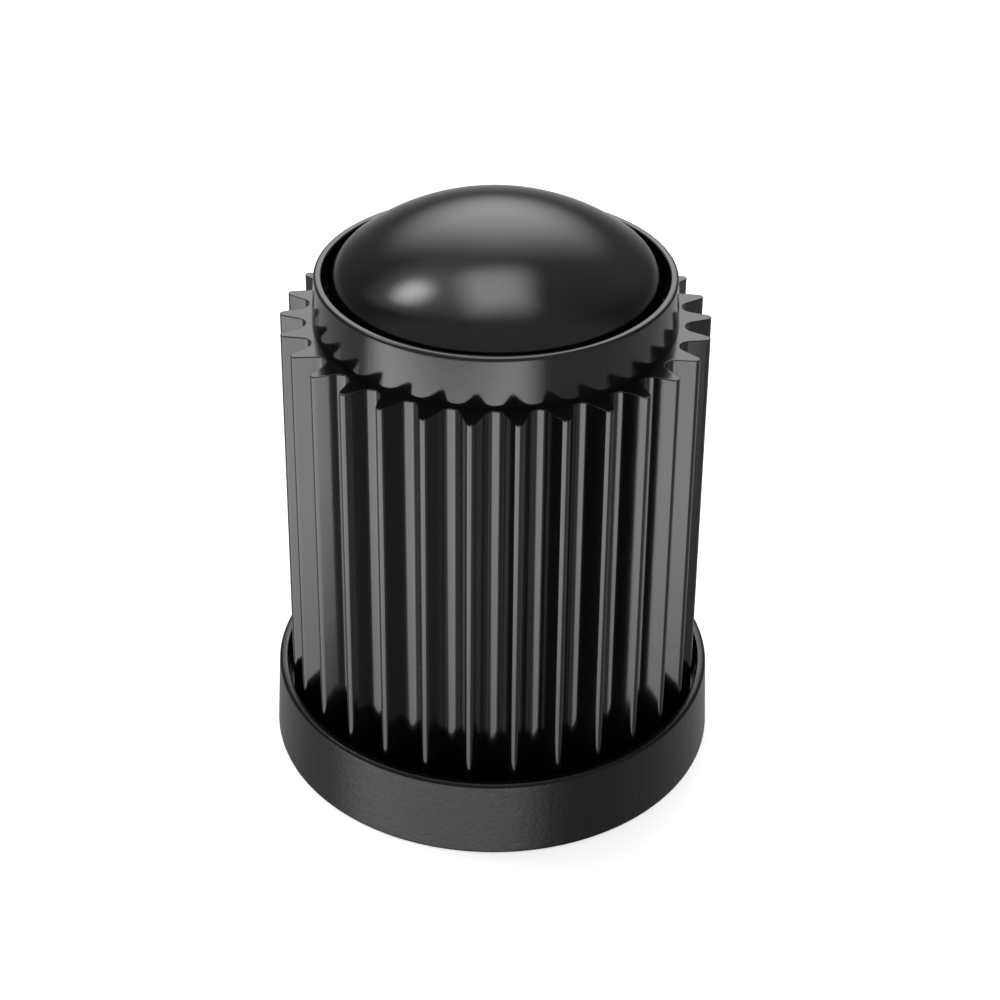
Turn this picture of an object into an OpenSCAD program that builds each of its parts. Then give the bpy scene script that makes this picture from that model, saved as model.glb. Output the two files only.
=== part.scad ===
// Screw-on cap for a tyre valve: a ribbed grip that rises out of a cupped collar, and a crown
// ring around a low dome. A rubber washer sits against the shoulder at the thread's inner end.
// The foot stands on z = 0 and the cap's axis is Z.

/* [Collar] */
// Outer diameter of the collar at the foot
collar_d = 11.42; // [11:0.02:13]
// Height of the collar's lip above the foot
collar_h = 2.05; // [1.6:0.01:2.6]
// How much the collar's radius shrinks from the foot to the lip
collar_taper = 0.12; // [0.05:0.01:0.2]
// Radius of the rounded outer edge of the lip
lip_round = 0.17; // [0.08:0.01:0.2]
// Width of the lip's flat top
lip_w = 0.05; // [0.04:0.01:0.12]
// Radius of the rounded outer edge of the foot
foot_round = 0.05; // [0.03:0.01:0.15]
// Depth of the recess between the lip and the ribs
recess_depth = 1.05; // [0.6:0.05:1.2]
// Gap between the lip and the rib crests
recess_gap = 0.114; // [0.1:0.002:0.2]
// Gap that is left between the collar's wall and the rib crests at the recess's floor
recess_floor_gap = 0.04; // [0.02:0.01:0.08]

/* [Grip] */
// Height of the ledge where the ribs end
ledge_z = 11.84; // [10.5:0.02:13]
// Number of ribs around the grip
rib_count = 30; // [24:1:32]
// Depth of the valleys between the ribs at the ledge
rib_depth = 0.63; // [0.5:0.01:0.66]
// Radius of the rounded rib crests
crest_round = 0.11; // [0.08:0.005:0.14]
// Width of the narrow land along each rib crest
crest_land = 0.04; // [0.03:0.01:0.08]
// Radius of the rounded valleys
valley_round = 0.2; // [0.15:0.005:0.22]
// Draft angle of the grip
grip_draft = 0.87; // [0.4:0.01:1.1]

/* [Crown] */
// Step of the ledge inside the valleys, from the valleys to the neck
neck_step = 0.14; // [0.1:0.01:0.2]
// How much the neck's radius shrinks from the ledge to the crown ring's edge
neck_taper = 0.075; // [0.04:0.005:0.1]
// Height of the crown ring's top above the ledge
neck_h = 1.18; // [0.8:0.005:1.4]
// Radius of the rounded outer edge of the crown ring
crown_round = 0.07; // [0.04:0.005:0.09]
// Radius of the rounded inner edge of the crown ring
crown_inner_round = 0.045; // [0.02:0.005:0.05]
// Wall of the crown ring
crown_wall = 0.19; // [0.14:0.01:0.25]
// Gap between the crown ring and the dome
groove_gap = 0.185; // [0.15:0.005:0.25]
// Depth of the groove around the dome
groove_depth = 1.0; // [0.7:0.05:1.1]

/* [Dome] */
// Height of the dome's top above the crown ring
dome_rise = 1.61; // [1.2:0.01:1.8]
// Radius of the dome's sphere as a multiple of the radius of the wall that it stands on
dome_flatness = 1.477; // [1.4:0.001:1.6]
// Radius of the rounded shoulder between the dome and its wall
dome_shoulder = 1.3; // [0.8:0.05:1.5]

/* [Bore] */
// Wall between the valleys at the ledge and the thread's roots
root_wall = 0.556; // [0.5:0.002:0.6]
// Depth of the thread from its inner wall to its roots
thread_depth = 0.445; // [0.4:0.005:0.46]
// Clearance of the plain mouth around the thread's roots
mouth_clearance = 0.1; // [0.05:0.01:0.15]
// Depth of the plain mouth before the thread starts
mouth_depth = 0.9; // [0.6:0.05:1.2]
// Width of the chamfer at the mouth's edge
mouth_chamfer = 0.3; // [0.2:0.05:0.4]
// Length of the threaded wall
thread_length = 6.8; // [6:0.1:7.2]
// Width of the step from the washer's seat in to the pocket that clears the valve's pin
pocket_step = 1.4; // [1.2:0.05:1.7]
// Thickness of the roof between the pocket and the dome's top
roof_thickness = 2.2; // [2:0.05:2.6]

/* [Washer] */
// Step from the thread's inner wall out to the seat that holds the washer
seat_step = 0.325; // [0.25:0.005:0.4]
// Height of the seat behind the thread
seat_h = 1.3; // [1:0.05:1.5]
// Clearance of the washer inside its seat
washer_clearance = 0.05; // [0.03:0.01:0.1]
// Thickness of the washer
washer_h = 1.1; // [0.8:0.05:1.2]
// How far the washer reaches inwards past the pocket's wall
washer_lap = 0.7; // [0.4:0.05:0.9]

/* [Hidden] */
$fn = 96;

// Extra reach of a cutting shape past the face that it opens
reach = 1;
// How far the grip's root is sunk into the collar's floor
recess_sink = 0.3;

collar_r = collar_d / 2;
collar_top_r = collar_r - collar_taper;
lip_inner_r = collar_top_r - lip_round - lip_w;
recess_floor_z = collar_h - recess_depth;

crest_at_lip_r = lip_inner_r - recess_gap;
crest_r = crest_r_at(ledge_z);
crest_at_floor_r = crest_r_at(recess_floor_z);
recess_floor_r = crest_at_floor_r + recess_floor_gap;
valley_r = crest_r - rib_depth;
pitch = 360 / rib_count;

neck_r = valley_r - neck_step;
crown_z = ledge_z + neck_h;
crown_r = neck_r - neck_taper;
crown_inner_r = crown_r - crown_wall;
groove_floor_z = crown_z - groove_depth;
dome_wall_r = crown_inner_r - groove_gap;
dome_r = dome_wall_r * dome_flatness;
dome_top_z = crown_z + dome_rise;
dome_centre_z = dome_top_z - dome_r;

thread_root_r = valley_r - root_wall;
thread_wall_r = thread_root_r - thread_depth;
mouth_r = thread_root_r + mouth_clearance;
thread_start_z = mouth_depth + mouth_r - thread_wall_r;
thread_end_z = thread_start_z + thread_length;
seat_r = thread_wall_r + seat_step;
seat_top_z = thread_end_z + seat_h;
pocket_r = seat_r - pocket_step;
pocket_top_z = dome_top_z - roof_thickness;
washer_r = seat_r - washer_clearance;
washer_hole_r = pocket_r - washer_lap;

// Radius of the rib crests at a height, growing downwards by the draft
function crest_r_at(z) = crest_at_lip_r + tan(grip_draft) * (collar_h - z);

function mirror_x(p) = [-p.x, p.y];

// What is cut off a square corner at x, y to round it; the body lies towards -X and -Y
module corner_round(x, y, r) {
    translate([x - r, y - r])
        difference() {
            square(r + reach);
            circle(r);
        }
}

module collar() {
    rotate_extrude()
        difference() {
            polygon([
                [0, 0],
                [collar_r, 0],
                [collar_r, foot_round],
                [collar_top_r, collar_h - lip_round],
                [collar_top_r, collar_h],
                [lip_inner_r, collar_h],
                [recess_floor_r, recess_floor_z],
                [0, recess_floor_z]
            ]);
            corner_round(collar_top_r, collar_h, lip_round);
            mirror([0, 1])
                corner_round(collar_r, 0, foot_round);
        }
}

// Section of one valley as seen from above, with the valley's middle on +Y. It reaches from the
// land of one rib to the land of the next. Each flank is straight and touches the circle that
// rounds the rib's crest and the circle that rounds the valley.
module valley_section() {
    crest_way = [sin(pitch / 2), cos(pitch / 2)];
    crest_centre = (crest_r - sqrt(pow(crest_round, 2) - pow(crest_land / 2, 2))) * crest_way;
    valley_centre = [0, valley_r + valley_round];
    span = crest_centre - valley_centre;
    flank_angle = atan2(span.y, span.x) + acos(-(crest_round + valley_round) / norm(span));
    flank_normal = [cos(flank_angle), sin(flank_angle)];
    crest_end = crest_centre + crest_round * flank_normal;
    valley_end = valley_centre - valley_round * flank_normal;
    side_inner = crest_centre - crest_land / 4 * [crest_way.y, -crest_way.x];
    side_outer = side_inner + reach * crest_way;

    difference() {
        union() {
            polygon([
                valley_end, crest_end, side_inner, side_outer,
                mirror_x(side_outer), mirror_x(side_inner), mirror_x(crest_end),
                mirror_x(valley_end)
            ]);
            translate(valley_centre)
                circle(valley_round);
        }
        for (centre = [crest_centre, mirror_x(crest_centre)])
            translate(centre)
                circle(crest_round);
    }
}

// Ribbed grip: a drafted cone with a valley cut between each rib and the next. The cuts lean
// by the draft too, so the valleys keep their section from the foot to the ledge.
module grip() {
    cut_length = ledge_z - recess_floor_z + 2 * reach;
    difference() {
        translate([0, 0, recess_floor_z - recess_sink])
            rotate([0, 0, -90])
                cylinder(
                    h = ledge_z - recess_floor_z + recess_sink,
                    r1 = crest_r_at(recess_floor_z - recess_sink),
                    r2 = crest_r
                );
        for (i = [0 : rib_count - 1])
            rotate([0, 0, 180 + i * pitch])
                translate([0, 0, ledge_z])
                    rotate([grip_draft, 0, 0])
                        translate([0, 0, reach - cut_length])
                            linear_extrude(height = cut_length)
                                valley_section();
    }
}

// Neck above the ledge, which narrows a little and ends in the crown ring. Inside the ring it is
// cut down to the groove's floor, and the dome stands in that cut.
module neck() {
    rotate_extrude()
        difference() {
            polygon([
                [0, recess_floor_z],
                [neck_r, recess_floor_z],
                [neck_r, ledge_z],
                [crown_r, crown_z - crown_round],
                [crown_r, crown_z],
                [0, crown_z]
            ]);
            translate([0, groove_floor_z])
                square([crown_inner_r, groove_depth + reach]);
            corner_round(crown_r, crown_z, crown_round);
            translate([2 * crown_inner_r, 0])
                mirror([1, 0])
                    corner_round(crown_inner_r, crown_z, crown_inner_round);
        }
}

// Dome inside the crown ring: a slice of a sphere on a round wall, with a rounded shoulder
module dome() {
    shoulder_x = dome_wall_r - dome_shoulder;
    shoulder_z = dome_centre_z + sqrt(pow(dome_r - dome_shoulder, 2) - pow(shoulder_x, 2));
    contact = [shoulder_x, shoulder_z - dome_centre_z] * dome_r / (dome_r - dome_shoulder);

    rotate_extrude()
        union() {
            translate([0, groove_floor_z - reach])
                square([dome_wall_r, shoulder_z - groove_floor_z + reach]);
            translate([shoulder_x, shoulder_z])
                circle(dome_shoulder);
            intersection() {
                translate([0, dome_centre_z])
                    circle(dome_r);
                polygon([
                    [0, groove_floor_z],
                    [shoulder_x, groove_floor_z],
                    [shoulder_x, shoulder_z],
                    [contact.x, dome_centre_z + contact.y],
                    [contact.x, dome_top_z],
                    [0, dome_top_z]
                ]);
            }
        }
}

// Everything that is hollow inside the cap, from the mouth to the pocket for the valve's pin
module bore() {
    rotate_extrude()
        polygon([
            [0, -reach],
            [mouth_r + mouth_chamfer + reach, -reach],
            [mouth_r, mouth_chamfer],
            [mouth_r, mouth_depth],
            [thread_wall_r, thread_start_z],
            [thread_wall_r, thread_end_z],
            [seat_r, thread_end_z],
            [seat_r, seat_top_z],
            [pocket_r, seat_top_z],
            [pocket_r, pocket_top_z],
            [0, pocket_top_z]
        ]);
}

module cap_body() {
    color("#202124")
        difference() {
            union() {
                collar();
                grip();
                neck();
                dome();
            }
            bore();
        }
}

module sealing_washer() {
    color("#35363a")
        translate([0, 0, seat_top_z - washer_h])
            difference() {
                cylinder(h = washer_h, r = washer_r);
                translate([0, 0, -reach])
                    cylinder(h = washer_h + 2 * reach, r = washer_hole_r);
            }
}

cap_body();
sealing_washer();
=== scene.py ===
# %% [markdown]
# Tyre valve cap
#
# The object is a small black cap that screws on a tyre valve. It is one plastic moulding, with a
# ribbed grip that rises out of a cupped collar and a low dome inside a crown ring, and a rubber
# washer inside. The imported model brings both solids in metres, with the foot on z = 0. This
# lesson dresses them: the moulding gets its small radii and its thread, both pieces get their
# finish, and a studio is set around them that black plastic can mirror.

# %% Load the frame
import math
import bmesh
import bpy
from mathutils import Matrix, Vector


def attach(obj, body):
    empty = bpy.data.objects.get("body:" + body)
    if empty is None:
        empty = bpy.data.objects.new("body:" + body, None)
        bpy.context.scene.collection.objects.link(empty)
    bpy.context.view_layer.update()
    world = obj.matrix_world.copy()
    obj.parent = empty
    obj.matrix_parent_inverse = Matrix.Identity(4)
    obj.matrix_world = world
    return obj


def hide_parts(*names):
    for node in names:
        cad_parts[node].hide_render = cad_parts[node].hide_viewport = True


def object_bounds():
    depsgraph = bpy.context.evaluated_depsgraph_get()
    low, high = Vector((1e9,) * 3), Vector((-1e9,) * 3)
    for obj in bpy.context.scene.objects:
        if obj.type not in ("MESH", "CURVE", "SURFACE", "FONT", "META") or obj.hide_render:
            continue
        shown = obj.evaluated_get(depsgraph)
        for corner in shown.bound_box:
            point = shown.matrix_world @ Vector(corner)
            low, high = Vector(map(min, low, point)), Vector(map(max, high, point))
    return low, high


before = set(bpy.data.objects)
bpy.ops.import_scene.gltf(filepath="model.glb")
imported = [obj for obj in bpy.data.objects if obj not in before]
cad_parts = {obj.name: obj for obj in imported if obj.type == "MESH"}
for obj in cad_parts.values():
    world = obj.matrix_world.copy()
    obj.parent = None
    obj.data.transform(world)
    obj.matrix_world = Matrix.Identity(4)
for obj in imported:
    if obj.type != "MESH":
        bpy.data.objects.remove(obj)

cad_low, cad_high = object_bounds()
MM = 0.001
print("CAD box in mm:", [round(x / MM, 3) for x in (*cad_low, *cad_high)])

# %% [markdown]
# Sizes
#
# A turned or moulded part is drawn by its section. These are the sizes of that section, in
# millimetres, as the solids have them. The outer radius and the height are read from the frame,
# so the dressed part can't outgrow the solids. A few sizes differ from the solids' by some
# hundredths, because glossy plastic shows them in its reflections: the roundings of the lip and
# of the valleys between the ribs, and the groove's width. The rounding of the dome's shoulder
# is 0.3 mm smaller.

# %% Sizes of the moulding
FOOT_R = cad_high.x / MM
DOME_TOP_Z = cad_high.z / MM
FOOT_ROUND = 0.05
FOOT_FLAT = 0.35

LIP_Z = 2.05
COLLAR_TAPER = 0.12
LIP_ROUND = 0.1
LIP_FLAT = 0.12
LIP_OUTER_R = FOOT_R - COLLAR_TAPER
LIP_INNER_R = LIP_OUTER_R - LIP_ROUND - LIP_FLAT

RIBS = 30
RIB_DEPTH = 0.63
LEDGE_Z = 11.84
DRAFT = math.tan(math.radians(0.87))
RECESS_GAP = 0.114
CREST_R = LIP_INNER_R - RECESS_GAP - DRAFT * (LEDGE_Z - LIP_Z)
VALLEY_R = CREST_R - RIB_DEPTH
CREST_ROUND = 0.11
VALLEY_ROUND = 0.26

RECESS_DEPTH = 1.05
RECESS_FLOOR_GAP = 0.04
RECESS_Z = LIP_Z - RECESS_DEPTH
RECESS_R = CREST_R + DRAFT * (LEDGE_Z - RECESS_Z) + RECESS_FLOOR_GAP

NECK_STEP = 0.14
NECK_TAPER = 0.075
NECK_H = 1.18
NECK_FOOT_R = VALLEY_R - NECK_STEP
NECK_R = NECK_FOOT_R - NECK_TAPER
CROWN_WALL = 0.19
CROWN_Z = LEDGE_Z + NECK_H
CROWN_INNER_R = NECK_R - CROWN_WALL
GROOVE_DEPTH = 1.0
GROOVE_GAP = 0.15
GROOVE_Z = CROWN_Z - GROOVE_DEPTH
DOME_WALL_R = CROWN_INNER_R - GROOVE_GAP
DOME_R = 5.74
DOME_SHOULDER = 1.0
DOME_CENTRE_Z = DOME_TOP_Z - DOME_R

THREAD_CREST_R = 3.476
THREAD_ROOT_R = 3.921
THREAD_PITCH = 25.4 / 32
THREAD_LENGTH = 6.8
MOUTH_CLEARANCE = 0.1
MOUTH_R = THREAD_ROOT_R + MOUTH_CLEARANCE
MOUTH_CHAMFER = 0.3
MOUTH_Z = 0.9
THREAD_START_Z = MOUTH_Z + MOUTH_R - THREAD_CREST_R
THREAD_END_Z = THREAD_START_Z + THREAD_LENGTH
SEAT_R = 3.8
SEAT_H = 1.3
SEAT_TOP_Z = THREAD_END_Z + SEAT_H
POCKET_R = 2.4
ROOF_THICKNESS = 2.2
POCKET_TOP_Z = DOME_TOP_Z - ROOF_THICKNESS
WASHER_H = 1.1
WASHER_GAP = 0.05
WASHER_R = SEAT_R - WASHER_GAP
WASHER_HOLE_R = 1.7
print("rib crests at", round(CREST_R, 3), "valleys at", round(VALLEY_R, 3))

# %% [markdown]
# Camera
#
# The photograph looks down at the cap from about 33 degrees above the table, from very near. The
# outlines of the collar, the crown ring and the ribs fix where the camera stood, how long its
# lens was and the small roll of the picture.

# %% Camera
CAMERA_BACK = 41.48
CAMERA_UP = 33.75
CAMERA_PITCH = math.radians(33.195)
CAMERA_YAW = math.radians(0.206)
CAMERA_ROLL = math.radians(0.626)
LENS = 71.08


def place_camera():
    """Makes the photograph's camera from its place and its three angles."""
    forward = Vector((
        math.sin(CAMERA_YAW) * math.cos(CAMERA_PITCH),
        math.cos(CAMERA_YAW) * math.cos(CAMERA_PITCH),
        -math.sin(CAMERA_PITCH),
    ))
    level_right = forward.cross(Vector((0, 0, 1))).normalized()
    level_up = level_right.cross(forward)
    right = math.cos(CAMERA_ROLL) * level_right + math.sin(CAMERA_ROLL) * level_up
    up = math.cos(CAMERA_ROLL) * level_up - math.sin(CAMERA_ROLL) * level_right
    data = bpy.data.cameras.new("photo camera")
    data.lens = LENS
    data.sensor_width = 36
    data.clip_start = 0.001
    data.clip_end = 10
    camera = bpy.data.objects.new("photo camera", data)
    bpy.context.scene.collection.objects.link(camera)
    turn = Matrix((right, up, -forward)).transposed().to_4x4()
    camera.matrix_world = Matrix.Translation(Vector((0, -CAMERA_BACK, CAMERA_UP)) * MM) @ turn
    bpy.context.scene.camera = camera
    return camera


camera = place_camera()
print("camera at", [round(x / MM, 2) for x in camera.matrix_world.translation], "mm")

# %% [markdown]
# Node helper
#
# Both the shapes and the finishes are node trees. This small helper adds a node, gives its
# inputs numbers or links, and hands back an output, so that a formula reads like a formula.

# %% Node helper
class NodeBench:
    """Adds nodes to one tree. An input may be a number, a vector, a name or another output."""

    def __init__(self, tree):
        self.tree = tree

    def add(self, kind, inputs=None, **settings):
        node = self.tree.nodes.new(kind)
        for name, value in settings.items():
            setattr(node, name, value)
        for key, value in (inputs or {}).items():
            socket = node.inputs[key]
            if isinstance(value, bpy.types.NodeSocket):
                self.tree.links.new(value, socket)
            else:
                socket.default_value = value
        return node

    def math(self, operation, *values, clamp=False):
        node = self.add("ShaderNodeMath", dict(enumerate(values)), operation=operation)
        node.use_clamp = clamp
        return node.outputs[0]

    def total(self, *values):
        result = values[0]
        for value in values[1:]:
            result = self.math("ADD", result, value)
        return result

    def product(self, *values):
        result = values[0]
        for value in values[1:]:
            result = self.math("MULTIPLY", result, value)
        return result

    def blend(self, factor, low, high):
        """low where factor is 0, high where it is 1."""
        step = self.math("SUBTRACT", high, low)
        return self.math("MULTIPLY_ADD", factor, step, low)

    def ramp(self, value, start, end, low=0.0, high=1.0, **settings):
        """low where value is start, high where it is end, and level beyond both."""
        node = self.add("ShaderNodeMapRange", {
            "Value": value, "From Min": start, "From Max": end, "To Min": low, "To Max": high,
        }, **settings)
        return node.outputs["Result"]


# %% [markdown]
# Turning a section
#
# A lathe turns a section about an axis, and the mould of such a cap is cut much the same way. In
# Geometry Nodes that is a grid with one row for each point of the section and one column for
# each step around, which Set Position wraps about the axis. The last column lies on the first
# and is merged with it, so a thread can run through the seam. The grid is kept in one tree with
# named inputs, because the moulding's outside, its bore and the washer are all turned.

# %% Start of the tree: grid, rows and columns
turning = bpy.data.node_groups.new("turned and ribbed section", "GeometryNodeTree")
bench = NodeBench(turning)
socket_ids = {}


def new_input(name, kind):
    item = turning.interface.new_socket(name, in_out="INPUT", socket_type=kind)
    socket_ids[name] = item.identifier


new_input("Section", "NodeSocketGeometry")
for int_name in ("Ribs", "Crest Steps", "Flank Steps", "Valley Steps"):
    new_input(int_name, "NodeSocketInt")
for float_name in (
    "Follow Ribs", "Crest Centre", "Valley Centre", "Crest Rounding", "Valley Rounding",
    "Flank Direction", "Draft", "Draft Base Height", "Thread Pitch", "Thread Start",
    "Thread End", "Thread Crest Radius",
):
    new_input(float_name, "NodeSocketFloat")
new_input("Finish", "NodeSocketMaterial")
turning.interface.new_socket("Moulding", in_out="OUTPUT", socket_type="NodeSocketGeometry")

given = bench.add("NodeGroupInput").outputs
rows = bench.add("GeometryNodeAttributeDomainSize", {"Geometry": given["Section"]})
rows = rows.outputs["Point Count"]
half_steps = bench.total(given["Crest Steps"], given["Flank Steps"], given["Valley Steps"])
rib_steps = bench.math("MULTIPLY", half_steps, 2)
columns = bench.math("MULTIPLY", rib_steps, given["Ribs"])
grid = bench.add("GeometryNodeMeshGrid", {
    "Vertices X": bench.math("ADD", columns, 1),
    "Vertices Y": rows,
})
index = bench.add("GeometryNodeInputIndex").outputs[0]
column = bench.math("FLOOR", bench.math("DIVIDE", bench.math("ADD", index, 0.5), rows))
row = bench.math("SUBTRACT", index, bench.math("MULTIPLY", column, rows))


def from_row(value, kind="FLOAT"):
    """A value of the section's point that this grid point stands for."""
    node = bench.add("GeometryNodeSampleIndex", {"Geometry": given["Section"]}, data_type=kind)
    bench.tree.links.new(value, node.inputs["Value"])
    bench.tree.links.new(row, node.inputs["Index"])
    return node.outputs["Value"]


def row_mark(name):
    mark = bench.add("GeometryNodeInputNamedAttribute", {"Name": name}, data_type="FLOAT")
    return from_row(mark.outputs["Attribute"])


section_point = from_row(bench.add("GeometryNodeInputPosition").outputs[0], "FLOAT_VECTOR")
section_point = bench.add("ShaderNodeSeparateXYZ", {0: section_point}).outputs
print("tree started with", len(turning.nodes), "nodes")

# %% [markdown]
# Ribs
#
# The grip's outline is a rounded crest, a straight flank and a rounded valley, thirty times
# over. Modelling one rib and copying it would leave thirty seams. Instead each column of the
# grid knows its place on the outline: some columns step round the crest's arc, a few go down
# the flank and the rest step round the valley's arc, so the small radii get the points that
# their reflections need. A row's rib share says whether it follows the ribs or stays round, and
# its rib inset draws the outline inwards, which rounds the tips where they end at the ledge.

# %% Ribs in the tree
pitch_angle = bench.math("DIVIDE", 2 * math.pi, given["Ribs"])
rib = bench.math("FLOOR", bench.math("DIVIDE", bench.math("ADD", column, 0.5), rib_steps))
step_in_rib = bench.math("SUBTRACT", column, bench.math("MULTIPLY", rib, rib_steps))
past_valley = bench.math("GREATER_THAN", step_in_rib, half_steps)
away = bench.math("ABSOLUTE", bench.math("SUBTRACT", step_in_rib, half_steps))
step = bench.math("SUBTRACT", half_steps, away)
side = bench.math("MULTIPLY_ADD", past_valley, -2, 1)

inset = row_mark("rib_inset")
crest_round = bench.math("SUBTRACT", given["Crest Rounding"], inset)
valley_round = bench.math("ADD", given["Valley Rounding"], inset)
flank_x = bench.math("COSINE", given["Flank Direction"])
flank_y = bench.math("SINE", given["Flank Direction"])
half_pitch = bench.math("MULTIPLY", pitch_angle, 0.5)
valley_x = bench.product(given["Valley Centre"], bench.math("SINE", half_pitch))
valley_y = bench.product(given["Valley Centre"], bench.math("COSINE", half_pitch))


def arc_point(centre_x, centre_y, radius, angle):
    """A point at an angle from the rib's outward direction."""
    x = bench.math("MULTIPLY_ADD", radius, bench.math("SINE", angle), centre_x)
    y = bench.math("MULTIPLY_ADD", radius, bench.math("COSINE", angle), centre_y)
    return x, y


def share_of(first, count):
    """How far the step has come in a stretch of steps, from 0 to 1."""
    return bench.math("DIVIDE", bench.math("SUBTRACT", step, first), count, clamp=True)


crest_share = share_of(0, given["Crest Steps"])
flank_share = share_of(given["Crest Steps"], given["Flank Steps"])
flank_end_step = bench.math("ADD", given["Crest Steps"], given["Flank Steps"])
valley_share = share_of(flank_end_step, given["Valley Steps"])

crest_sweep = bench.math("SUBTRACT", math.pi / 2, given["Flank Direction"])
crest_x, crest_y = arc_point(
    0, given["Crest Centre"], crest_round, bench.product(crest_share, crest_sweep)
)
valley_from = bench.math("SUBTRACT", -math.pi / 2, given["Flank Direction"])
valley_to = bench.math("SUBTRACT", half_pitch, math.pi)
valley_arc_x, valley_arc_y = arc_point(
    valley_x, valley_y, valley_round, bench.blend(valley_share, valley_from, valley_to)
)
valley_end_x = bench.math("SUBTRACT", valley_x, bench.product(valley_round, flank_x))
valley_end_y = bench.math("SUBTRACT", valley_y, bench.product(valley_round, flank_y))
crest_end_x = bench.product(crest_round, flank_x)
crest_end_y = bench.math("MULTIPLY_ADD", crest_round, flank_y, given["Crest Centre"])
on_flank = bench.math("GREATER_THAN", step, given["Crest Steps"])
in_valley = bench.math("GREATER_THAN", step, flank_end_step)


def choose(crest, flank, valley):
    return bench.blend(in_valley, bench.blend(on_flank, crest, flank), valley)


outline_x = choose(crest_x, bench.blend(flank_share, crest_end_x, valley_end_x), valley_arc_x)
outline_y = choose(crest_y, bench.blend(flank_share, crest_end_y, valley_end_y), valley_arc_y)
outline_r = bench.math("SQRT", bench.total(
    bench.product(outline_x, outline_x), bench.product(outline_y, outline_y)
))
outline_turn = bench.product(side, bench.math("ARCTAN2", outline_x, outline_y))
rib_angle = bench.product(bench.total(rib, past_valley), pitch_angle)
outline_angle = bench.total(rib_angle, outline_turn)

drop = bench.math("SUBTRACT", given["Draft Base Height"], section_point["Z"])
grown = bench.math("MULTIPLY_ADD", drop, given["Draft"], 1)
even_angle = bench.math("DIVIDE", bench.product(column, 2 * math.pi), columns)
angle = bench.blend(given["Follow Ribs"], even_angle, outline_angle)
radius = bench.blend(
    row_mark("rib_share"), section_point["X"], bench.product(outline_r, grown)
)
print("tree has", len(turning.nodes), "nodes with the ribs")

# %% [markdown]
# Thread
#
# A thread is cut by a tool that climbs one pitch for each turn. Here the rows of the bore that
# carry the thread climb by one pitch on their way around, so the end of each row meets the
# start of the row one pitch above, and the merge at the seam makes one long helix of them. The
# climb is positive, which gives a right-hand thread. Near both ends the thread fades into the
# wall, as it does where the moulding core ends.

# %% Thread in the tree
thread_share = row_mark("thread_share")
climb = bench.product(given["Thread Pitch"], bench.math("DIVIDE", angle, 2 * math.pi))
climbed = bench.total(section_point["Z"], climb)
held = bench.math("MINIMUM", given["Thread End"], bench.math(
    "MAXIMUM", given["Thread Start"], climbed
))
height = bench.blend(thread_share, section_point["Z"], held)
from_start = bench.math("SUBTRACT", held, given["Thread Start"])
from_end = bench.math("SUBTRACT", given["Thread End"], held)
fade = bench.math(
    "DIVIDE", bench.math("MINIMUM", from_start, from_end), given["Thread Pitch"], clamp=True
)
faded_r = bench.blend(fade, given["Thread Crest Radius"], radius)
radius = bench.blend(thread_share, radius, faded_r)

# %% End of the tree: wrap the grid, weld it and give it its finish
place = bench.add("ShaderNodeCombineXYZ", {
    "X": bench.product(radius, bench.math("COSINE", angle)),
    "Y": bench.product(radius, bench.math("SINE", angle)),
    "Z": height,
})
WELD = 0.0004 * MM
wrapped = bench.add("GeometryNodeSetPosition", {
    "Geometry": grid.outputs["Mesh"], "Position": place.outputs[0],
})
marked = bench.add("GeometryNodeStoreNamedAttribute", {
    "Geometry": wrapped.outputs[0], "Name": "satin",
}, data_type="FLOAT", domain="POINT")
turning.links.new(row_mark("satin"), marked.inputs["Value"])
welded = bench.add("GeometryNodeMergeByDistance", {
    "Geometry": marked.outputs[0], "Distance": WELD,
})
smooth = bench.add("GeometryNodeSetShadeSmooth", {"Geometry": welded.outputs[0]})
realized = bench.add("GeometryNodeRealizeInstances", {"Geometry": smooth.outputs[0]})
finished = bench.add("GeometryNodeSetMaterial", {
    "Geometry": realized.outputs[0], "Material": given["Finish"],
})
given_out = bench.add("NodeGroupOutput")
turning.links.new(finished.outputs[0], given_out.inputs["Moulding"])
print("tree finished with", len(turning.nodes), "nodes")

# %% [markdown]
# Sections
#
# A section is a list of points, each with its radius and height in millimetres and the marks
# that the tree reads. Rounded edges are arcs of a few points. Glossy plastic is shaded smoothly,
# so each arc has a support point close to its ends, which keeps the flat faces beside it flat
# in their reflections.

# %% Tools for drawing a section
def point(r, z, rib_share=0.0, rib_inset=0.0, thread_share=0.0, satin=0.0):
    return dict(
        r=r, z=z, rib_share=rib_share, rib_inset=rib_inset,
        thread_share=thread_share, satin=satin,
    )


def arc(centre_r, centre_z, radius, start, end, steps, **marks):
    """Points on an arc, from one angle to another in degrees. 0 points away from the axis."""
    points = []
    for k in range(steps + 1):
        a = math.radians(start + (end - start) * k / steps)
        r = centre_r + radius * math.cos(a)
        points.append(point(r, centre_z + radius * math.sin(a), **marks))
    return points


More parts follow.
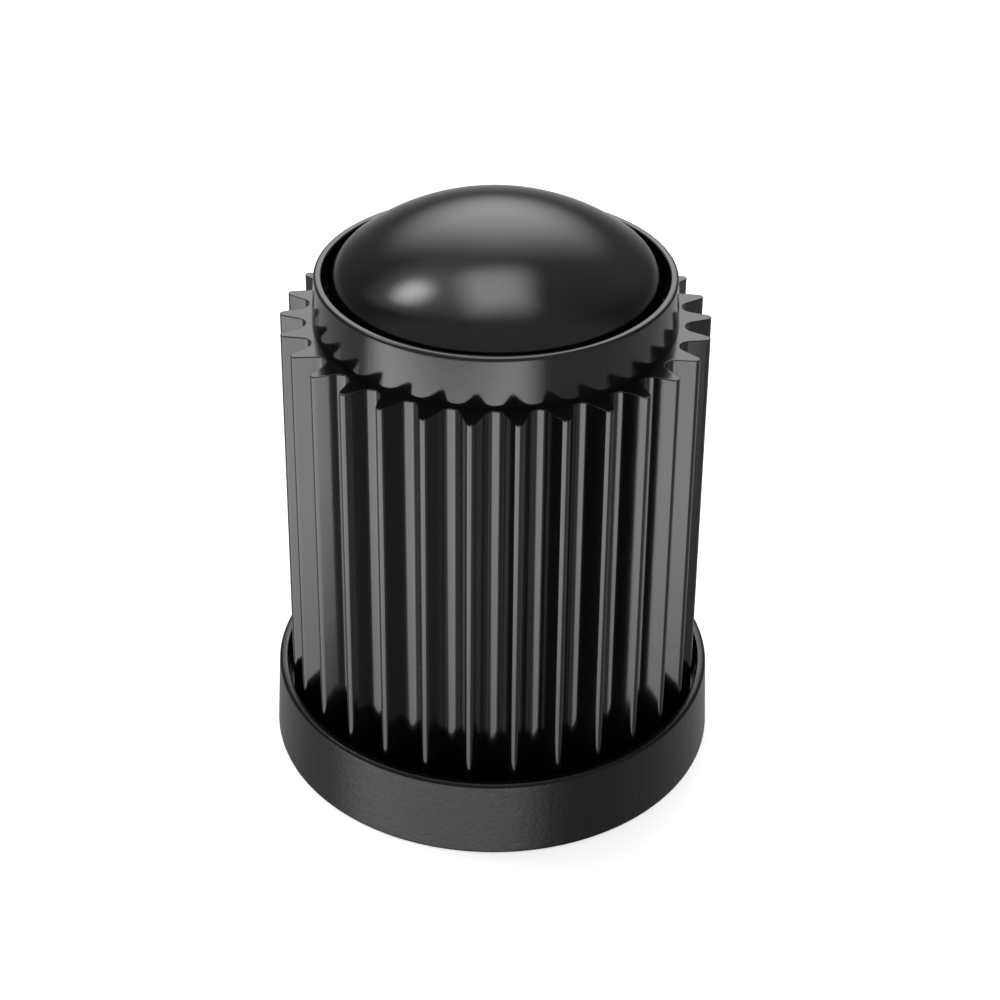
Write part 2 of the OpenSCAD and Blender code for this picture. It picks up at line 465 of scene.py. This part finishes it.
def turned(name, section, finish, ribs, steps, follow_ribs=0.0):
    """Turns a section with the tree and returns the plain mesh."""
    data = bpy.data.meshes.new(name + " section")
    data.from_pydata(
        [(p["r"] * MM, 0, p["z"] * MM) for p in section],
        [(k, k + 1) for k in range(len(section) - 1)], [],
    )
    for mark in ("rib_share", "rib_inset", "thread_share", "satin"):
        unit = MM if mark == "rib_inset" else 1
        values = data.attributes.new(mark, "FLOAT", "POINT")
        values.data.foreach_set("value", [p[mark] * unit for p in section])
    piece = bpy.data.objects.new(name, data)
    bpy.context.scene.collection.objects.link(piece)
    turn = piece.modifiers.new("turned", "NODES")
    turn.node_group = turning
    settings = {
        "Ribs": ribs,
        "Crest Steps": steps[0],
        "Flank Steps": steps[1],
        "Valley Steps": steps[2],
        "Follow Ribs": follow_ribs,
        "Crest Centre": CREST_CENTRE * MM,
        "Valley Centre": VALLEY_CENTRE * MM,
        "Crest Rounding": CREST_ROUND * MM,
        "Valley Rounding": VALLEY_ROUND * MM,
        "Flank Direction": FLANK_DIRECTION,
        "Draft": DRAFT / (CREST_R * MM),
        "Draft Base Height": LEDGE_Z * MM,
        "Thread Pitch": THREAD_PITCH * MM,
        "Thread Start": THREAD_START_Z * MM,
        "Thread End": THREAD_END_Z * MM,
        "Thread Crest Radius": THREAD_CREST_R * MM,
        "Finish": finish,
    }
    for setting, value in settings.items():
        turn[socket_ids[setting]] = value
    graph = bpy.context.evaluated_depsgraph_get()
    graph.update()
    result = bpy.data.meshes.new_from_object(
        piece.evaluated_get(graph), preserve_all_data_layers=True, depsgraph=graph
    )
    bpy.data.objects.remove(piece)
    result.name = name
    print(name, "has", len(result.vertices), "points and", len(result.polygons), "faces")
    return result


# %% [markdown]
# Rib geometry
#
# The flank of a rib is the straight line that touches both the crest's circle and the valley's
# circle. With the centres of both circles known, its direction follows.

# %% Flank between the two circles
CREST_CENTRE = CREST_R - CREST_ROUND
VALLEY_CENTRE = VALLEY_R + VALLEY_ROUND
half_rib = math.pi / RIBS
to_valley = Vector((
    VALLEY_CENTRE * math.sin(half_rib),
    VALLEY_CENTRE * math.cos(half_rib) - CREST_CENTRE,
))
FLANK_DIRECTION = math.atan2(to_valley.y, to_valley.x) + math.acos(
    (CREST_ROUND + VALLEY_ROUND) / to_valley.length
)
print("flank faces", round(math.degrees(FLANK_DIRECTION), 1), "degrees off the tangent")

# %% [markdown]
# Plastic
#
# The cap is moulded in black plastic. The dome and the ribs come from polished steel, so they
# are glossy with a very slight waviness, while the collar has a finer, duller texture from the
# spark-eroded part of the mould. One finish does both: the satin mark that the section carries
# raises the roughness and the height of the fine grain. Black plastic shows little colour of
# its own, so nearly everything that is seen of it is the mirrored studio.

# %% Finish of the moulded plastic
def new_material(name):
    material = bpy.data.materials.new(name)
    material.use_nodes = True
    material.node_tree.nodes.clear()
    return material, NodeBench(material.node_tree)


def noise(shader, coords, scale, detail=2.0, roughness=0.5):
    node = shader.add("ShaderNodeTexNoise", {
        "Vector": coords, "Scale": scale, "Detail": detail, "Roughness": roughness,
    })
    return node.outputs["Fac"]


def plastic_finish():
    material, shader = new_material("black moulded plastic")
    coords = shader.add("ShaderNodeTexCoord").outputs["Object"]
    satin = shader.add("ShaderNodeAttribute", attribute_name="satin").outputs["Fac"]
    grain = noise(shader, coords, 9000.0, 3.0, 0.6)
    flow = noise(shader, coords, 700.0, 2.0, 0.5)

    tint = shader.add("ShaderNodeMix", {"Factor": flow}, data_type="RGBA")
    tint.inputs["A"].default_value = (0.0018, 0.0018, 0.0019, 1)
    tint.inputs["B"].default_value = (0.0026, 0.0026, 0.0027, 1)
    gloss = shader.math("MULTIPLY_ADD", flow, 0.05, 0.11)
    dull = shader.math("MULTIPLY_ADD", grain, 0.16, 0.22)
    body = shader.add("ShaderNodeBsdfPrincipled", {
        "Base Color": tint.outputs["Result"],
        "Roughness": shader.blend(satin, gloss, dull),
        "IOR": 1.46,
        "Specular IOR Level": shader.math("MULTIPLY_ADD", satin, -0.22, 0.5),
    })
    wave = shader.add("ShaderNodeBump", {
        "Height": flow, "Distance": 0.012 * MM, "Strength": 0.25,
    })
    grained = shader.add("ShaderNodeBump", {
        "Height": grain, "Distance": 0.012 * MM, "Normal": wave.outputs[0],
        "Strength": shader.math("MULTIPLY_ADD", satin, 0.5, 0.03),
    })
    shader.tree.links.new(grained.outputs[0], body.inputs["Normal"])
    shader.add("ShaderNodeOutputMaterial", {"Surface": body.outputs[0]})
    return material


plastic = plastic_finish()
print("plastic finish has", len(plastic.node_tree.nodes), "nodes")

# %% [markdown]
# Outside of the moulding
#
# The outside is one walk around the section, from the foot up the collar, over its thin lip and
# down into the recess, up the ribs to the ledge where they end, up the neck, over the crown
# ring, down the groove and up the dome to its middle. It is the whole visible surface and it is
# one skin in the mould too, so it is turned in one go. A point with a rib share of 1 takes its
# radius from the ribs' outline.

# %% Section of the outside
SUPPORT = 0.03
LIP_WALL_LEAN = 0.006
RECESS_WALL_LEAN = 0.005
LIP_SATIN = 0.3
RIB_STEPS = (4, 1, 5)
LIP_EDGE_ROUND = 0.03
RIB_EDGE_ROUND = 0.012
CROWN_ROUND = 0.07
CROWN_INNER_ROUND = 0.045
GROOVE_ROUND = 0.05


def outside_section():
    collar_slope = (FOOT_R - LIP_OUTER_R) / (LIP_Z - LIP_ROUND - FOOT_ROUND)
    shape = [point(r, 0, satin=1) for r in (FOOT_R - FOOT_FLAT, FOOT_R - FOOT_ROUND - SUPPORT)]
    shape += arc(FOOT_R - FOOT_ROUND, FOOT_ROUND, FOOT_ROUND, -90, 0, 5, satin=1)
    for z in (FOOT_ROUND + SUPPORT, LIP_Z - LIP_ROUND - SUPPORT):
        shape.append(point(FOOT_R - collar_slope * (z - FOOT_ROUND), z, satin=1))
    shape += arc(LIP_OUTER_R - LIP_ROUND, LIP_Z - LIP_ROUND, LIP_ROUND, 0, 90, 8, satin=1)
    lip_edge_z = LIP_Z - LIP_EDGE_ROUND
    shape += arc(
        LIP_INNER_R + LIP_EDGE_ROUND, lip_edge_z, LIP_EDGE_ROUND, 90, 175, 4, satin=LIP_SATIN
    )
    shape.append(point(LIP_INNER_R - LIP_WALL_LEAN, lip_edge_z - SUPPORT, satin=LIP_SATIN))
    shape.append(point(RECESS_R + RECESS_WALL_LEAN, RECESS_Z + 2 * SUPPORT))
    shape.append(point(RECESS_R, RECESS_Z))
    rib_edge_z = LEDGE_Z - RIB_EDGE_ROUND
    for z in (RECESS_Z, RECESS_Z + 2 * SUPPORT, LIP_Z, rib_edge_z - SUPPORT):
        shape.append(point(0, z, rib_share=1))
    for k in range(4):
        a = math.radians(90 * k / 3)
        z = rib_edge_z + RIB_EDGE_ROUND * math.sin(a)
        inset = RIB_EDGE_ROUND * (1 - math.cos(a))
        shape.append(point(0, z, rib_share=1, rib_inset=inset))
    shape.append(point(0, LEDGE_Z, rib_share=1, rib_inset=RIB_EDGE_ROUND + SUPPORT))
    neck_slope = (NECK_FOOT_R - NECK_R) / (CROWN_Z - CROWN_ROUND - LEDGE_Z)
    shape.append(point(NECK_FOOT_R, LEDGE_Z))
    for z in (LEDGE_Z + SUPPORT, CROWN_Z - CROWN_ROUND - SUPPORT):
        shape.append(point(NECK_FOOT_R - neck_slope * (z - LEDGE_Z), z))
    shape += arc(NECK_R - CROWN_ROUND, CROWN_Z - CROWN_ROUND, CROWN_ROUND, 0, 90, 6)
    shape += arc(
        CROWN_INNER_R + CROWN_INNER_ROUND, CROWN_Z - CROWN_INNER_ROUND, CROWN_INNER_ROUND,
        90, 180, 4,
    )
    shape.append(point(CROWN_INNER_R, CROWN_Z - CROWN_INNER_ROUND - SUPPORT))
    shape.append(point(CROWN_INNER_R, GROOVE_Z + GROOVE_ROUND + SUPPORT))
    shape += arc(CROWN_INNER_R - GROOVE_ROUND, GROOVE_Z + GROOVE_ROUND, GROOVE_ROUND, 0, -90, 3)
    shape += arc(DOME_WALL_R + GROOVE_ROUND, GROOVE_Z + GROOVE_ROUND, GROOVE_ROUND, -90, -180, 3)

    shoulder_r = DOME_WALL_R - DOME_SHOULDER
    shoulder_up = math.sqrt((DOME_R - DOME_SHOULDER) ** 2 - shoulder_r**2)
    contact = math.degrees(math.atan2(shoulder_up, shoulder_r))
    shoulder_z = DOME_CENTRE_Z + shoulder_up
    shape.append(point(DOME_WALL_R, shoulder_z - 2 * SUPPORT))
    shape += arc(shoulder_r, shoulder_z, DOME_SHOULDER, 0, contact, 7)
    shape += arc(0, DOME_CENTRE_Z, DOME_R, contact, 90, 17)[1:]
    return shape


outside = outside_section()
outside_mesh = turned("outside", outside, plastic, RIBS, RIB_STEPS, follow_ribs=1.0)

# %% [markdown]
# Bore
#
# From the pocket that clears the valve's pin, the bore steps out to the washer's seat, comes
# back in at the shoulder and runs down the thread to the plain mouth. The thread is the same as
# on every tyre valve: 32 turns to the inch with flanks at 60 degrees. Eight rows of the section
# draw one pitch of it, each by its share of the pitch and of the depth, and the tree makes them
# climb. The bore follows no ribs, so its 25 times 8 columns are spread evenly.

# %% Section of the bore
BORE_SECTORS = 25
PLAIN_STEPS = (1, 1, 2)
POCKET_ROUND = 0.1
POCKET_EDGE_ROUND = 0.06
SEAT_ROUND = 0.05
MOUTH_ROUND = 0.04
BEVEL = 0.01
FOOT_OVERLAP = 0.08
THREAD_PROFILE = (
    (0.015, 0.0), (0.235, 0.0), (0.265, 0.05), (0.545, 0.95),
    (0.58, 1.0), (0.67, 1.0), (0.705, 0.95), (0.985, 0.05),
)


def bore_section():
    shape = [point(0, POCKET_TOP_Z)]
    shape += arc(POCKET_R - POCKET_ROUND, POCKET_TOP_Z - POCKET_ROUND, POCKET_ROUND, 90, 0, 4)
    shape += arc(
        POCKET_R + POCKET_EDGE_ROUND, SEAT_TOP_Z + POCKET_EDGE_ROUND, POCKET_EDGE_ROUND,
        180, 270, 3,
    )
    shape += arc(SEAT_R - SEAT_ROUND, SEAT_TOP_Z - SEAT_ROUND, SEAT_ROUND, 90, 0, 3)
    shape += arc(SEAT_R - SEAT_ROUND, THREAD_END_Z + SEAT_ROUND, SEAT_ROUND, 0, -90, 3)
    shape.append(point(THREAD_CREST_R + SUPPORT, THREAD_END_Z))
    turns = math.ceil((THREAD_END_Z - THREAD_START_Z) / THREAD_PITCH) + 1
    for turn_number in range(turns):
        for phase, depth in THREAD_PROFILE:
            z = THREAD_END_Z - THREAD_PITCH * (turn_number + phase - THREAD_PROFILE[0][0])
            r = THREAD_CREST_R + depth * (THREAD_ROOT_R - THREAD_CREST_R)
            shape.append(point(r, z, thread_share=1))
    shape.append(point(MOUTH_R - SUPPORT, MOUTH_Z + SUPPORT))
    shape += arc(MOUTH_R - MOUTH_ROUND, MOUTH_Z - MOUTH_ROUND / 2, MOUTH_ROUND, 45, 0, 2)
    shape.append(point(MOUTH_R, MOUTH_CHAMFER + SUPPORT))
    shape.append(point(MOUTH_R + BEVEL, MOUTH_CHAMFER - BEVEL))
    shape.append(point(MOUTH_R + MOUTH_CHAMFER - 2 * BEVEL, 2 * BEVEL))
    for past in (2 * BEVEL, FOOT_OVERLAP):
        shape.append(point(MOUTH_R + MOUTH_CHAMFER + past, 0))
    return shape


bore = bore_section()
bore_mesh = turned("bore", bore, plastic, BORE_SECTORS, PLAIN_STEPS)

# %% [markdown]
# One moulding
#
# The outside and the bore meet on the flat foot, out of sight. A bridge between the two open
# rings closes the skin, and after that the moulding is one closed piece like the solid. Corners
# of 60 degrees and more stay sharp in the shading, such as the neck's foot on the ledge. The
# check counts open edges, of which a closed skin has none.

# %% Join, bridge and check
SHARP_CORNER = math.radians(60)


def joined(name, meshes, finish):
    """Bridges the open rings of some meshes and makes one object of them."""
    bm = bmesh.new()
    for mesh in meshes:
        bm.from_mesh(mesh)
    rim = [edge for edge in bm.edges if edge.is_boundary]
    bridge = bmesh.ops.bridge_loops(bm, edges=rim)
    bmesh.ops.remove_doubles(bm, verts=bm.verts, dist=WELD)
    bmesh.ops.recalc_face_normals(bm, faces=bm.faces)
    for face in bm.faces:
        face.smooth = True
    for edge in bm.edges:
        edge.smooth = edge.calc_face_angle(0) < SHARP_CORNER
    open_edges = sum(1 for edge in bm.edges if not edge.is_manifold)
    volume = bm.calc_volume(signed=True) / MM**3
    data = bpy.data.meshes.new(name)
    bm.to_mesh(data)
    bm.free()
    data.materials.append(finish)
    piece = bpy.data.objects.new(name, data)
    bpy.context.scene.collection.objects.link(piece)
    triangles = sum(len(face.vertices) - 2 for face in data.polygons)
    print(name, "bridged with", len(bridge["faces"]), "faces, open edges:", open_edges)
    print(name, "has", triangles, "triangles and", round(volume, 1), "cubic mm")
    return piece


cap = joined("cap_moulding", (outside_mesh, bore_mesh), plastic)
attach(cap, "root")
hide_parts("cap_body")

# %% [markdown]
# Washer
#
# The washer is punched from black rubber sheet, so its edges are nearly square and its faces are
# matt with a fine grain. It is turned like the rest, as a closed ring.

# %% Washer
WASHER_SECTORS = 24
WASHER_ROUND = 0.04


def rubber_finish():
    material, shader = new_material("seal rubber")
    coords = shader.add("ShaderNodeTexCoord").outputs["Object"]
    speckle = noise(shader, coords, 6000.0, 4.0, 0.65)
    tint = shader.add("ShaderNodeMix", {"Factor": speckle}, data_type="RGBA")
    tint.inputs["A"].default_value = (0.012, 0.012, 0.013, 1)
    tint.inputs["B"].default_value = (0.03, 0.03, 0.031, 1)
    bump = shader.add("ShaderNodeBump", {
        "Height": speckle, "Distance": 0.02 * MM, "Strength": 0.4,
    })
    body = shader.add("ShaderNodeBsdfPrincipled", {
        "Base Color": tint.outputs["Result"],
        "Roughness": shader.math("MULTIPLY_ADD", speckle, 0.2, 0.6),
        "Normal": bump.outputs[0],
    })
    shader.add("ShaderNodeOutputMaterial", {"Surface": body.outputs[0]})
    return material


rubber = rubber_finish()
low, high = SEAT_TOP_Z - WASHER_H, SEAT_TOP_Z
outer, inner = WASHER_R - WASHER_ROUND, WASHER_HOLE_R + WASHER_ROUND
bottom, top = low + WASHER_ROUND, high - WASHER_ROUND
ring = []
for corner_r, corner_z, start in (
    (outer, bottom, -90), (outer, top, 0), (inner, top, 90), (inner, bottom, 180),
):
    ring += arc(corner_r, corner_z, WASHER_ROUND, start, start + 90, 3)
ring.append(dict(ring[0]))
washer_mesh = turned("washer", ring, rubber, WASHER_SECTORS, PLAIN_STEPS)
washer = joined("washer_ring", (washer_mesh,), rubber)
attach(washer, "root")
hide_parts("sealing_washer")

# %% [markdown]
# Studio
#
# The photograph shows the cap on pure white, and its plastic mirrors a dim room with a few soft
# panels. A mirrored panel shows where it stood: a wide one behind the cap with a glow on the
# ceiling above it, a square one overhead, a small one with a halo high on the left, and one in
# front that the upright walls mirror from below the table's edge, as on a clear table. Since the
# plastic is black, the panels are nearly all that is seen of it. They are drawn in the world as
# soft windows that lie far away, so they look the same from every part of the cap. The room is a
# little lighter in front and below, and what comes steeply through the table is dimmed.

# %% Panels of light
def soft_window(room, way, azimuth, elevation, width, height, soft, squareness, turn):
    """A panel's share of the light, 1 inside it and 0 outside. All angles are in degrees, and
    soft is how much of its half size fades. Azimuth 0 is the camera's side and grows to the
    right, and turn tilts the panel in its own plane."""
    a, e, tilt = math.radians(azimuth), math.radians(elevation), math.radians(turn)
    facing = Vector((math.sin(a) * math.cos(e), -math.cos(a) * math.cos(e), math.sin(e)))
    level = Vector((math.cos(a), math.sin(a), 0))
    across = math.cos(tilt) * level + math.sin(tilt) * facing.cross(level)
    upward = facing.cross(across)

    def along(axis):
        node = room.add("ShaderNodeVectorMath", {0: way, 1: axis}, operation="DOT_PRODUCT")
        return node.outputs["Value"]

    depth = along(facing)
    in_front = room.math("GREATER_THAN", depth, 0.02)
    shares = []
    for axis, size in ((across, width), (upward, height)):
        reach = math.tan(math.radians(size / 2))
        place = room.math("DIVIDE", along(axis), room.product(depth, reach))
        shares.append(room.math("POWER", room.math("ABSOLUTE", place), squareness))
    out = room.math("POWER", room.total(*shares), 1 / squareness)
    inside = room.ramp(out, 1 + soft, 1 - soft, interpolation_type="SMOOTHSTEP")
    return room.product(inside, in_front)


ROOM_LIGHT = 0.19
FRONT_LIGHT = 0.32
THROUGH_TABLE = 0.3
# azimuth, elevation, width, height, soft, squareness, turn, brightness
PANELS = {
    "back panel": (180, 38, 41, 39.5, 0.81, 1.67, 0, 2.9),
    "ceiling glow": (170, 58, 70, 59, 0.95, 3.9, 0, 0.3),
    "overhead panel": (173, 84.2, 25, 22, 0.6, 4.5, 14.5, 4.2),
    "halo of the small panel": (-115, 68, 22, 54, 0.95, 2.3, 0, 1.26),
    "small panel": (-113, 55, 9.1, 14, 0.95, 2.0, -14, 10.5),
    "front panel": (-28, -34, 92, 25, 0.35, 5.0, 0, 4.8),
}

world = bpy.data.worlds.new("dim room with panels")
world.use_nodes = True
world.node_tree.nodes.clear()
room = NodeBench(world.node_tree)
way = room.add("ShaderNodeTexCoord").outputs["Generated"]
direction = room.add("ShaderNodeSeparateXYZ", {0: way}).outputs
to_front = room.ramp(direction["Y"], 0.1, -0.3)
to_floor = room.ramp(direction["Z"], 0.1, -0.6, high=1.5)
lighter = room.math("MAXIMUM", to_front, to_floor)
light = room.math("MULTIPLY_ADD", lighter, FRONT_LIGHT, ROOM_LIGHT)
for *window, brightness in PANELS.values():
    light = room.total(light, room.product(soft_window(room, way, *window), brightness))
light = room.product(light, room.ramp(direction["Z"], -0.69, -0.53, low=THROUGH_TABLE))
path = room.add("ShaderNodeLightPath").outputs
seen = room.math("MAXIMUM", path["Is Camera Ray"], path["Is Transmission Ray"])
white = room.add("ShaderNodeBackground", {"Strength": 1.0, "Color": (1, 1, 1, 1)})
studio = room.add("ShaderNodeBackground", {"Strength": light, "Color": (1, 1, 1, 1)})
sky = room.add("ShaderNodeMixShader", {0: seen, 1: studio.outputs[0], 2: white.outputs[0]})
room.add("ShaderNodeOutputWorld", {"Surface": sky.outputs[0]})
bpy.context.scene.world = world
bpy.context.scene.view_settings.view_transform = "Standard"
print("panels:", ", ".join(PANELS))

# %% [markdown]
# Table
#
# The table is a clear sheet on white. The camera sees it as white with the cap's soft shadow,
# while the plastic mirrors the room through it. A broad lamp overhead gives the shadow. From
# below the sheet is clear, so that a camera there sees the mouth and its thread.

# %% Table and lamp
TABLE_SIZE = 1.2
TABLE_GLOW = 0.5
LAMP_SIZE = 0.12
LAMP_POWER = 0.03
LAMP_PLACE = (0, 0.02, 0.16)


def table_finish():
    material, shader = new_material("white table")
    coords = shader.add("ShaderNodeTexCoord").outputs["Object"]
    paper = noise(shader, coords, 60.0)
    tint = shader.add("ShaderNodeMix", {"Factor": paper}, data_type="RGBA")
    tint.inputs["A"].default_value = (0.78, 0.78, 0.78, 1)
    tint.inputs["B"].default_value = (0.82, 0.82, 0.82, 1)
    diffuse = shader.add("ShaderNodeBsdfDiffuse", {"Color": tint.outputs["Result"]})
    path = shader.add("ShaderNodeLightPath").outputs
    seen = shader.math("MAXIMUM", path["Is Camera Ray"], shader.math(
        "MAXIMUM", path["Is Glossy Ray"], path["Is Transmission Ray"]
    ))
    glow = shader.add("ShaderNodeEmission", {"Strength": shader.product(seen, TABLE_GLOW)})
    both = shader.add("ShaderNodeAddShader", {0: diffuse.outputs[0], 1: glow.outputs[0]})
    from_below = shader.add("ShaderNodeNewGeometry").outputs["Backfacing"]
    clear = shader.add("ShaderNodeBsdfTransparent")
    sheet = shader.add("ShaderNodeMixShader", {
        0: from_below, 1: both.outputs[0], 2: clear.outputs[0],
    })
    shader.add("ShaderNodeOutputMaterial", {"Surface": sheet.outputs[0]})
    return material


bpy.ops.mesh.primitive_plane_add(size=TABLE_SIZE)
table = bpy.context.object
table.name = "table"
table.data.materials.append(table_finish())
table.visible_glossy = False
table.visible_shadow = False

lamp_data = bpy.data.lights.new("overhead lamp", "AREA")
lamp_data.shape = "DISK"
lamp_data.size = LAMP_SIZE
lamp_data.energy = LAMP_POWER
lamp = bpy.data.objects.new("overhead lamp", lamp_data)
bpy.context.scene.collection.objects.link(lamp)
lamp.location = LAMP_PLACE
lamp.visible_camera = False
lamp.visible_glossy = False
